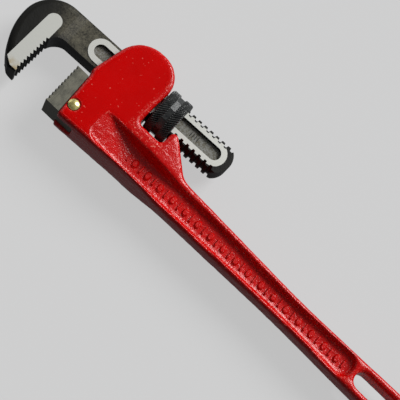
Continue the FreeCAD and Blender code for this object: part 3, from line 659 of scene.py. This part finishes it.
@dataclass
class CastHandle:
    """The painted casting and the row of raised marks on its web."""

    nodes: Mapping[str, bpy.types.Object]
    paint: bpy.types.Material
    mark_height: float = 6.4 * MM
    mark_relief: float = 0.75 * MM
    mark_top: float = 0.62
    mark_pitch: float = 5.2 * MM
    web_half: float = 3.25 * MM
    row_start: float = 42 * MM
    row_end: float = 236 * MM
    row_level: float = 13.6 * MM
    smallest: tuple[float, float, float] = (0.92, 0.94, 0.85)
    largest: tuple[float, float, float] = (1.06, 1.04, 1.1)
    cell: float = 0.85 * MM
    softening: int = 11
    grip_from: float = 70 * MM
    grip_softening: int = 16
    sand_height: float = 0.22 * MM
    sand_grain: float = 2.6 * MM
    side_margin: float = 0.3 * MM
    slot_half: float = 8.3 * MM
    slot_end: float = 66 * MM

    def build(self) -> None:
        """Make the casting with its soft edges, and add the marks."""
        casting = self.make_casting()
        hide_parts("handle")
        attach(casting, Body.HANDLE.value)
        LOG.info("%s has %d faces", casting.name, len(casting.data.polygons))
        marks = self.make_marks()
        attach(marks, Body.HANDLE.value)
        LOG.info("%s has %d faces", marks.name, len(marks.data.polygons))

    def make_casting(self) -> bpy.types.Object:
        """Make the handle as a sand casting, with softened edges and a slightly lumpy skin.

        Returns:
            The casting, at the origin.
        """
        maker = bmesh.new()
        maker.from_mesh(self.nodes["handle"].data)
        bmesh.ops.remove_doubles(maker, verts=maker.verts, dist=0.001 * MM)
        solid = bpy.data.meshes.new("casting_blank")
        maker.to_mesh(solid)
        maker.free()
        casting = new_object("handle_casting", solid)
        remesh = casting.modifiers.new("cells", "REMESH")
        remesh.mode = "VOXEL"
        remesh.voxel_size = self.cell
        soften = casting.modifiers.new("soften", "SMOOTH")
        soften.factor = 0.5
        soften.iterations = self.softening
        blank = settle(casting)
        grip_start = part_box("handle")[0].x + self.grip_from
        grip = casting.vertex_groups.new(name="grip")
        behind_housing = [vertex.index for vertex in blank.vertices if vertex.co.x > grip_start]
        grip.add(behind_housing, 1.0, "REPLACE")
        soften_grip = casting.modifiers.new("soften_grip", "SMOOTH")
        soften_grip.factor = 0.5
        soften_grip.iterations = self.grip_softening
        soften_grip.vertex_group = grip.name
        mesh = settle(casting)
        self.roughen(mesh)
        mesh.materials.clear()
        mesh.materials.append(self.paint)
        mesh.shade_smooth()
        return casting

    def roughen(self, mesh: bpy.types.Mesh) -> None:
        """Sink the skin by a fine noise, and leave the housing's flat sides and its openings alone.

        Args:
            mesh: the casting's mesh, which is changed.
        """
        low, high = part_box("handle")
        middle = (low.z + high.z) / 2
        normals = [normal.vector.copy() for normal in mesh.vertex_normals]
        for vertex, normal in zip(mesh.vertices, normals):
            height = abs(vertex.co.z - middle)
            on_side = height > high.z - middle - self.side_margin
            in_slot = height < self.slot_half and vertex.co.x < low.x + self.slot_end
            if on_side or in_slot:
                continue
            depth = 0.5 + 0.5 * noise.noise(vertex.co / self.sand_grain)
            vertex.co -= normal * depth * self.sand_height

    def shape(self, recipe: GeometryRecipe, outline: MarkShape) -> Socket:
        """Make one mark: a low frustum that stands on z = 0, with drafted sides as a casting has.

        Args:
            recipe: the tree that the mark is made in.
            outline: the mark's outline.

        Returns:
            The mark's geometry.
        """
        count, share = outline.value
        turn = math.pi / count
        reach = 0.5 / math.cos(turn)
        graph = recipe.graph
        cone = graph.add("GeometryNodeMeshCone", {
            "Vertices": count,
            "Radius Top": self.mark_top * reach,
            "Radius Bottom": reach,
            "Depth": 1.0,
        })
        upright = graph.moved(cone.outputs[0], Rotation=(0.0, 0.0, turn))
        size = graph.add("ShaderNodeCombineXYZ", {
            0: graph.times(recipe.socket("Height"), share),
            1: recipe.socket("Height"),
            2: graph.times(recipe.socket("Relief"), 1.6),
        })
        return graph.moved(upright, Scale=size.outputs[0])

    def make_marks(self) -> bpy.types.Object:
        """Set beads and bars in turn along both sides of the web.

        Returns:
            The marks, as one piece.
        """
        low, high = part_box("handle")
        middle = (low.z + high.z) / 2
        start = Vector((low.x + self.row_start, low.y + self.row_level, middle))
        count = int((self.row_end - self.row_start) / self.mark_pitch)
        recipe = GeometryRecipe("cast_marks", {
            "Height": self.mark_height,
            "Relief": self.mark_relief,
            "Pitch": self.mark_pitch,
            "Count": count,
            "Start": start,
            "Web half": self.web_half,
        })
        graph = recipe.graph
        shapes = graph.add("GeometryNodeGeometryToInstance")
        for outline in (MarkShape.BEAD, MarkShape.BAR):
            graph.link(self.shape(recipe, outline), shapes.inputs[0])
        step = graph.add("ShaderNodeCombineXYZ", {0: recipe.socket("Pitch")})
        row_inputs = {
            "Count": recipe.socket("Count"),
            "Start Location": recipe.socket("Start"),
            "Offset": step.outputs[0],
        }
        line = graph.add("GeometryNodeMeshLine", row_inputs, mode="OFFSET")
        number = graph.add("GeometryNodeInputIndex").outputs[0]
        sides = graph.add("GeometryNodeJoinGeometry")
        for side in (1.0, -1.0):
            lift = graph.add("ShaderNodeCombineXYZ", {2: graph.times(recipe.socket("Web half"), side)})
            row = graph.moved(line.outputs[0], Translation=lift.outputs[0])
            spread = {"Min": self.smallest, "Max": self.largest, "ID": number, "Seed": 7}
            size = graph.add("FunctionNodeRandomValue", spread, data_type="FLOAT_VECTOR")
            turned = (0.0, 0.0, 0.0) if side > 0 else (math.pi, 0.0, 0.0)
            placed = graph.add("GeometryNodeInstanceOnPoints", {
                "Points": row,
                "Instance": shapes.outputs[0],
                "Pick Instance": True,
                "Instance Index": number,
                "Rotation": turned,
                "Scale": size.outputs[0],
            })
            graph.link(placed.outputs[0], sides.inputs[0])
        recipe.close(sides.outputs[0], self.paint)
        return recipe.bake("web_marks", bpy.data.meshes.new("web_marks"), self.paint)


@dataclass
class HookJaw:
    """The forged hook jaw and the inspection ticks stamped into the floor of its pocket."""

    nodes: Mapping[str, bpy.types.Object]
    forging: bpy.types.Material
    ink: bpy.types.Material
    shank: ShankFrame
    tick_length: float = 3.6 * MM
    tick_width: float = 0.75 * MM
    tick_relief: float = 0.12 * MM
    tick_pitch: float = 1.8 * MM
    tick_count: int = 4
    first_tick: float = 17.5 * MM
    pocket_half: float = 4.6 * MM

    def build(self) -> None:
        """Dress the forging and add the ticks."""
        CadNode("hook_jaw", self.forging).dress(self.nodes)
        ticks = self.make_ticks()
        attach(ticks, Body.HOOK.value)
        LOG.info("%s has %d faces", ticks.name, len(ticks.data.polygons))

    def make_ticks(self) -> bpy.types.Object:
        """Set short dark bars side by side on the pocket's floor, on both sides of the shank.

        Returns:
            The ticks, as one piece.
        """
        recipe = GeometryRecipe("pocket_ticks", {
            "Length": self.tick_length,
            "Width": self.tick_width,
            "Relief": self.tick_relief,
            "Pitch": self.tick_pitch,
            "Count": self.tick_count,
            "First": self.first_tick,
            "Floor": self.pocket_half,
            "Shank centre": self.shank.centre,
            "Shank tilt": Vector((0.0, 0.0, self.shank.tilt)),
        })
        graph = recipe.graph
        unit = {"Vertices": 8, "Radius Top": 0.38, "Radius Bottom": 0.5, "Depth": 1.0}
        bar = graph.add("GeometryNodeMeshCone", unit)
        step = graph.add("ShaderNodeCombineXYZ", {0: recipe.socket("Pitch")})
        sides = graph.add("GeometryNodeJoinGeometry")
        for side in (1.0, -1.0):
            start = graph.add("ShaderNodeCombineXYZ", {
                0: recipe.socket("First"),
                2: graph.times(recipe.socket("Floor"), side),
            })
            row_inputs = {
                "Count": recipe.socket("Count"),
                "Start Location": start.outputs[0],
                "Offset": step.outputs[0],
            }
            line = graph.add("GeometryNodeMeshLine", row_inputs, mode="OFFSET")
            size = graph.add("ShaderNodeCombineXYZ", {
                0: recipe.socket("Width"),
                1: recipe.socket("Length"),
                2: graph.times(recipe.socket("Relief"), 2.0),
            })
            turned = (0.0, 0.0, 0.0) if side > 0 else (math.pi, 0.0, 0.0)
            placed = graph.add("GeometryNodeInstanceOnPoints", {
                "Points": line.outputs[0],
                "Instance": bar.outputs[0],
                "Rotation": turned,
                "Scale": size.outputs[0],
            })
            graph.link(placed.outputs[0], sides.inputs[0])
        recipe.close(recipe.on_shank(sides.outputs[0]), self.ink)
        return recipe.bake("pocket_ticks", bpy.data.meshes.new("pocket_ticks"), self.ink)


@dataclass
class KnurledNut:
    """The adjusting nut: two bands of slanting knurl, a faceted waist and the thread in its bore."""

    steel: bpy.types.Material
    shank: ShankFrame
    radius: float = 15.0 * MM
    half_length: float = 7.75 * MM
    bore: float = 11.9 * MM
    lead_in: float = 0.8 * MM
    end_round: float = 1.3 * MM
    round_steps: int = 4
    band_steps: int = 8
    waist_half: float = 1.9 * MM
    waist_bevel: float = 0.55 * MM
    waist_apothem: float = 13.6 * MM
    waist_flats: int = 12
    waist_turn: float = math.radians(15.0)
    knurl_count: int = 60
    knurl_depth: float = 0.9 * MM
    knurl_lean: float = 0.62
    steps_per_knurl: int = 8
    pitch: float = 4.7 * MM
    ridge_tip: float = 10.25 * MM
    ridge_tip_half: float = 0.55 * MM
    ridge_foot_half: float = 1.05 * MM
    ridge_turns: float = 2.5
    ridge_steps: int = 180
    ridge_sink: float = 0.3 * MM
    ridge_seam: float = 0.002 * MM
    ridge_phase: float = -math.pi / 2

    def build(self) -> None:
        """Make the nut, let it stand for its CAD node and ride on the nut's body."""
        nut = self.make()
        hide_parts("adjusting_nut")
        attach(nut, Body.NUT.value)
        LOG.info("%s has %d faces", nut.name, len(nut.data.polygons))

    def section(self) -> list[tuple[float, float, float]]:
        """Return the nut's section, from end to end outside and back inside.

        Returns:
            Corners as (place on the axis, radius, share of knurl). A share of -1 marks the waist's flats.
        """
        left = []
        for turn in range(self.round_steps + 1):
            angle = math.pi / 2 * turn / self.round_steps
            x = -self.half_length + self.end_round * (1 - math.cos(angle))
            r = self.radius - self.end_round * (1 - math.sin(angle))
            left.append((x, r, math.sin(angle)))
        flat_start = -self.half_length + self.end_round
        flat_end = -self.waist_half - self.waist_bevel
        for row in range(1, self.band_steps + 1):
            x = flat_start + (flat_end - flat_start) * row / self.band_steps
            left.append((x, self.radius, 1.0))
        bevel_start = -self.waist_half - self.waist_bevel / 2
        left.append((bevel_start, self.radius - 0.15 * self.waist_bevel, 0.6))
        left.append((-self.waist_half, self.radius - self.waist_bevel, 0.0))
        left.append((-self.waist_half, 0.0, -1.0))
        right = [(-x, r, share) for x, r, share in reversed(left)]
        inside = [
            (self.half_length, self.bore + self.lead_in, 0.0),
            (self.half_length - self.lead_in, self.bore, 0.0),
            (-self.half_length + self.lead_in, self.bore, 0.0),
            (-self.half_length, self.bore + self.lead_in, 0.0),
        ]
        return left + right + inside

    def waist_radius(self, angle: float) -> float:
        """Find how far the waist's flats are from the axis.

        Args:
            angle: angle round the axis, in radians.

        Returns:
            The distance.
        """
        sector = 2 * math.pi / self.waist_flats
        from_middle = (angle + sector / 2 - self.waist_turn) % sector - sector / 2
        return self.waist_apothem / math.cos(from_middle)

    def make_blank(self) -> bpy.types.Mesh:
        """Turn the section round the x axis, with the share of knurl kept as an attribute.

        Returns:
            The blank, not yet knurled.
        """
        section = self.section()
        around = self.knurl_count * self.steps_per_knurl
        maker = bmesh.new()
        share_layer = maker.verts.layers.float.new("knurl")
        rings = []
        for step in range(around):
            angle = 2 * math.pi * step / around
            ring = []
            for x, r, share in section:
                distance = self.waist_radius(angle) if share < 0 else r
                vertex = maker.verts.new((x, distance * math.cos(angle), distance * math.sin(angle)))
                vertex[share_layer] = max(share, 0.0)
                ring.append(vertex)
            rings.append(ring)
        for step, ring in enumerate(rings):
            following = rings[(step + 1) % around]
            for place in range(len(section)):
                after = (place + 1) % len(section)
                maker.faces.new((ring[place], ring[after], following[after], following[place]))
        bmesh.ops.recalc_face_normals(maker, faces=maker.faces)
        mesh = bpy.data.meshes.new("nut_blank")
        maker.to_mesh(mesh)
        maker.free()
        return mesh

    def cut_knurl(self, recipe: GeometryRecipe) -> Socket:
        """Cut slanting grooves into the blank's two bands.

        Args:
            recipe: the nut's tree, whose input is the blank.

        Returns:
            The knurled geometry.
        """
        graph = recipe.graph
        along, across, above = graph.split(graph.add("GeometryNodeInputPosition").outputs[0])
        angle = graph.math("ARCTAN2", above, across)
        slant = graph.math("DIVIDE", graph.times(along, recipe.socket("Lean")), recipe.socket("Radius"))
        phase = graph.times(graph.plus(angle, slant), recipe.socket("Knurls"))
        wave = graph.times(graph.math("SUBTRACT", 1.0, graph.math("COSINE", phase)), 0.5)
        knurl = graph.add("GeometryNodeInputNamedAttribute", {"Name": "knurl"}, data_type="FLOAT")
        share = knurl.outputs[0]
        depth = graph.times(graph.times(wave, share), recipe.socket("Depth"))
        squares = graph.plus(graph.times(across, across), graph.times(above, above))
        distance = graph.math("SQRT", squares)
        inward = graph.math("DIVIDE", graph.times(depth, -1.0), distance)
        sinking = {1: graph.times(across, inward), 2: graph.times(above, inward)}
        shift = graph.add("ShaderNodeCombineXYZ", sinking)
        offset = {"Geometry": recipe.socket("Geometry"), "Offset": shift.outputs[0]}
        return graph.add("GeometryNodeSetPosition", offset).outputs[0]

    def wind_thread(self, recipe: GeometryRecipe) -> Socket:
        """Make the thread's ridge: a closed tube of four corners wound along a helix in the bore.

        Args:
            recipe: the nut's tree.

        Returns:
            The ridge's geometry.
        """
        graph = recipe.graph
        sheet = {"Size X": 1.0, "Size Y": 4.0, "Vertices X": self.ridge_steps + 1, "Vertices Y": 5}
        grid = graph.add("GeometryNodeMeshGrid", sheet)
        u, v, _ = graph.split(graph.add("GeometryNodeInputPosition").outputs[0])
        run = graph.plus(u, 0.5)
        turned = graph.times(graph.times(run, recipe.socket("Turns")), 2 * math.pi)
        angle = graph.plus(turned, recipe.socket("Phase"))
        beside = graph.plus(v, 0.5)
        is_tip = graph.math("LESS_THAN", graph.math("ABSOLUTE", beside), 1.0)
        side = graph.math("SIGN", graph.times(beside, graph.math("SUBTRACT", 1.5, v)))
        narrowing = graph.math("SUBTRACT", recipe.socket("Tip half"), recipe.socket("Foot half"))
        half = graph.plus(recipe.socket("Foot half"), graph.times(is_tip, narrowing))
        ends = graph.times(graph.ramp(run, 0.0, 0.012, False), graph.ramp(run, 1.0, 0.988, False))
        foot = graph.plus(recipe.socket("Bore"), self.ridge_sink)
        height = graph.math("SUBTRACT", foot, recipe.socket("Tip radius"))
        drop = graph.times(graph.times(is_tip, ends), height)
        distance = graph.math("SUBTRACT", foot, drop)
        middle = graph.times(graph.times(u, recipe.socket("Turns")), recipe.socket("Pitch"))
        along = graph.plus(middle, graph.times(graph.times(side, half), ends))
        place = graph.add("ShaderNodeCombineXYZ", {
            0: along,
            1: graph.times(distance, graph.math("COSINE", angle)),
            2: graph.times(distance, graph.math("SINE", angle)),
        })
        wound = {"Geometry": grid.outputs[0], "Position": place.outputs[0]}
        tube = graph.add("GeometryNodeSetPosition", wound).outputs[0]
        joined = {"Geometry": tube, "Distance": self.ridge_seam}
        closed = graph.add("GeometryNodeMergeByDistance", joined).outputs[0]
        return graph.add("GeometryNodeFlipFaces", {"Mesh": closed}).outputs[0]

    def make(self) -> bpy.types.Object:
        """Knurl the blank and add the thread.

        Returns:
            The nut, on the screw's axis.
        """
        recipe = GeometryRecipe("nut_knurl_and_thread", {
            "Knurls": float(self.knurl_count),
            "Depth": self.knurl_depth,
            "Lean": self.knurl_lean,
            "Radius": self.radius,
            "Turns": self.ridge_turns,
            "Phase": self.ridge_phase,
            "Pitch": self.pitch,
            "Bore": self.bore,
            "Tip radius": self.ridge_tip,
            "Tip half": self.ridge_tip_half,
            "Foot half": self.ridge_foot_half,
            "Shank centre": self.shank.centre,
            "Shank tilt": Vector((0.0, 0.0, self.shank.tilt)),
        })
        graph = recipe.graph
        parts = graph.add("GeometryNodeJoinGeometry")
        graph.link(self.cut_knurl(recipe), parts.inputs[0])
        graph.link(self.wind_thread(recipe), parts.inputs[0])
        recipe.close(recipe.on_shank(parts.outputs[0]), self.steel)
        nut = recipe.bake("knurled_nut", self.make_blank(), self.steel)
        nut.data.shade_smooth()
        nut.data.set_sharp_from_angle(angle=math.radians(40))
        return nut


@dataclass
class SmallParts:
    """The heel jaw, its pin, and the springs in the crown."""

    nodes: Mapping[str, bpy.types.Object]
    insert: bpy.types.Material
    brass: bpy.types.Material
    spring: bpy.types.Material

    def build(self) -> None:
        """Dress each part."""
        finishes = {
            "heel_jaw": self.insert,
            "heel_jaw_pin": self.brass,
            "flat_spring": self.spring,
            "coil_spring": self.spring,
            "spring_rivet": self.spring,
        }
        for name, finish in finishes.items():
            CadNode(name, finish).dress(self.nodes)


@dataclass
class Studio:
    """Floor, lamps and camera."""

    floor_finish: bpy.types.Material
    centre: Vector
    floor_half: float = 4.0
    floor_gap: float = 0.1 * MM
    aim: Vector = field(default_factory=lambda: Vector((-20.25, -9.99, 0.0)) * MM)
    distance: float = 863 * MM
    pitch: float = math.radians(19.0)
    roll: float = math.radians(44.0)
    lens: float = 129.4
    sensor: float = 36.0
    key_energy: float = 4.1
    fill_energy: float = 0.3
    sky: float = 0.26
    sky_behind: float = 0.10

    def build(self) -> None:
        """Lay the floor, hang the lamps and set the camera up."""
        self.lay_floor()
        self.hang_lamp("key_lamp", Vector((0.35, 0.95, 0.85)), self.key_energy, 34.0)
        self.hang_lamp("fill_lamp", Vector((-1.0, 0.35, 0.4)), self.fill_energy, 40.0)
        self.light_sky()
        self.place_camera()

    def lay_floor(self) -> None:
        """Add the floor, which the wrench lies on."""
        maker = bmesh.new()
        bmesh.ops.create_grid(maker, x_segments=8, y_segments=8, size=self.floor_half)
        mesh = bpy.data.meshes.new("floor")
        maker.to_mesh(mesh)
        maker.free()
        mesh.transform(Matrix.Translation((0.0, 0.0, -self.floor_gap)))
        mesh.materials.append(self.floor_finish)
        floor = new_object("floor", mesh)
        floor.visible_diffuse = False
        floor.visible_glossy = False
        floor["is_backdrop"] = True

    @staticmethod
    def hang_lamp(name: str, toward: Vector, energy: float, spread: float) -> None:
        """Hang a far, soft lamp.

        Args:
            name: the lamp's name.
            toward: direction from the wrench to the lamp.
            energy: strength of its light.
            spread: its size as an angle in degrees, which sets how soft its shadows are.
        """
        lamp = bpy.data.lights.new(name, "SUN")
        lamp.energy = energy
        lamp.angle = math.radians(spread)
        holder = bpy.data.objects.new(name, lamp)
        holder.rotation_mode = "QUATERNION"
        holder.rotation_quaternion = toward.to_track_quat("Z", "Y")
        bpy.context.scene.collection.objects.link(holder)

    def light_sky(self) -> None:
        """Fill the shadows with light from all round, less of it from the side away from the crown."""
        world = bpy.data.worlds.new("studio")
        world.use_nodes = True
        graph = Graph(world.node_tree)
        background = graph.tree.nodes["Background"]
        background.inputs["Color"].default_value = colour(0.95, 0.97, 1.0)
        over = graph.split(graph.add("ShaderNodeTexCoord").outputs["Generated"])[1]
        strength = graph.scaled(graph.ramp(over, -0.8, 0.6), self.sky_behind, self.sky)
        graph.link(strength, background.inputs["Strength"])
        bpy.context.scene.world = world

    def place_camera(self) -> None:
        """Look down on the wrench, pitched back a little and rolled so that it lies aslant."""
        lens = bpy.data.cameras.new("camera")
        lens.lens = self.lens
        lens.sensor_width = self.sensor
        lens.clip_start = 0.05
        lens.clip_end = 20.0
        holder = bpy.data.objects.new("camera", lens)
        pitched = Matrix.Rotation(self.pitch, 4, "X") @ Matrix.Rotation(self.roll, 4, "Z")
        target = self.centre + self.aim
        back = Matrix.Translation((0.0, 0.0, self.distance))
        holder.matrix_world = Matrix.Translation(target) @ pitched @ back
        bpy.context.scene.collection.objects.link(holder)
        bpy.context.scene.camera = holder
        bpy.context.scene.view_settings.view_transform = "Standard"


def make_finishes(shank: ShankFrame) -> dict[Slot, bpy.types.Material]:
    """Build the finish of each material slot.

    Args:
        shank: the shank's frame, which the paint and the forging are laid out by.

    Returns:
        The materials by slot.
    """
    finishes = {
        Slot.PAINT: CastPaint(
            "red_enamel",
            middle=shank.centre.z,
            smooth_side=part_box("handle")[1].z - shank.centre.z,
            window_side=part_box("adjusting_nut")[0].x,
        ),
        Slot.INSERT: MachinedSteel(
            "tarnished_tool_steel",
            light=colour(0.125, 0.120, 0.090),
            dark=colour(0.075, 0.073, 0.055),
            metal=0.3,
            shine=(0.38, 0.58),
        ),
        Slot.BRASS: MachinedSteel(
            "yellow_plating",
            light=colour(0.72, 0.64, 0.27),
            dark=colour(0.40, 0.34, 0.11),
            metal=0.7,
            shine=(0.18, 0.34),
            relief=0.03 * MM,
            patch=1.6 * MM,
        ),
        Slot.FORGING: JawForging(
            "black_forging",
            shank,
            rim_start=-55.6 * MM,
            rim_end=35.5 * MM,
            rim_outer=8.25 * MM,
            rim_inner=4.45 * MM,
            jaw_face=9.3 * MM,
            rim_face=6.8 * MM,
            toe=-44.5 * MM,
            spine=-99 * MM,
            neck=-76 * MM,
            throat=-14 * MM,
        ),
        Slot.BLACK: MachinedSteel(
            "black_oxide",
            light=colour(0.060, 0.062, 0.060),
            dark=colour(0.012, 0.012, 0.014),
            metal=0.35,
            shine=(0.20, 0.34),
            relief=0.02 * MM,
            patch=3.0 * MM,
        ),
        Slot.SPRING: MachinedSteel(
            "spring_steel",
            light=colour(0.42, 0.42, 0.40),
            dark=colour(0.22, 0.22, 0.21),
            metal=0.85,
            shine=(0.22, 0.38),
            stretch=(0.1, 1.0, 1.0),
        ),
    }
    return {slot: finish.build() for slot, finish in finishes.items()}


def main() -> None:
    """Build every sub-assembly, then the studio, centred on the frame's bounds."""
    logging.basicConfig(level=logging.INFO, format="%(message)s")
    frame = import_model()
    cad_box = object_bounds()
    nodes = frame["nodes"]
    shank = ShankFrame.from_record(frame["record"])
    finishes = make_finishes(shank)
    CastHandle(nodes, finishes[Slot.PAINT]).build()
    HookJaw(nodes, finishes[Slot.FORGING], finishes[Slot.BLACK], shank).build()
    KnurledNut(finishes[Slot.BLACK], shank).build()
    SmallParts(nodes, finishes[Slot.INSERT], finishes[Slot.BRASS], finishes[Slot.SPRING]).build()
    Studio(PaleFloor("pale_paper").build(), (cad_box[0] + cad_box[1]) / 2).build()


if __name__ == "__main__":
    main()
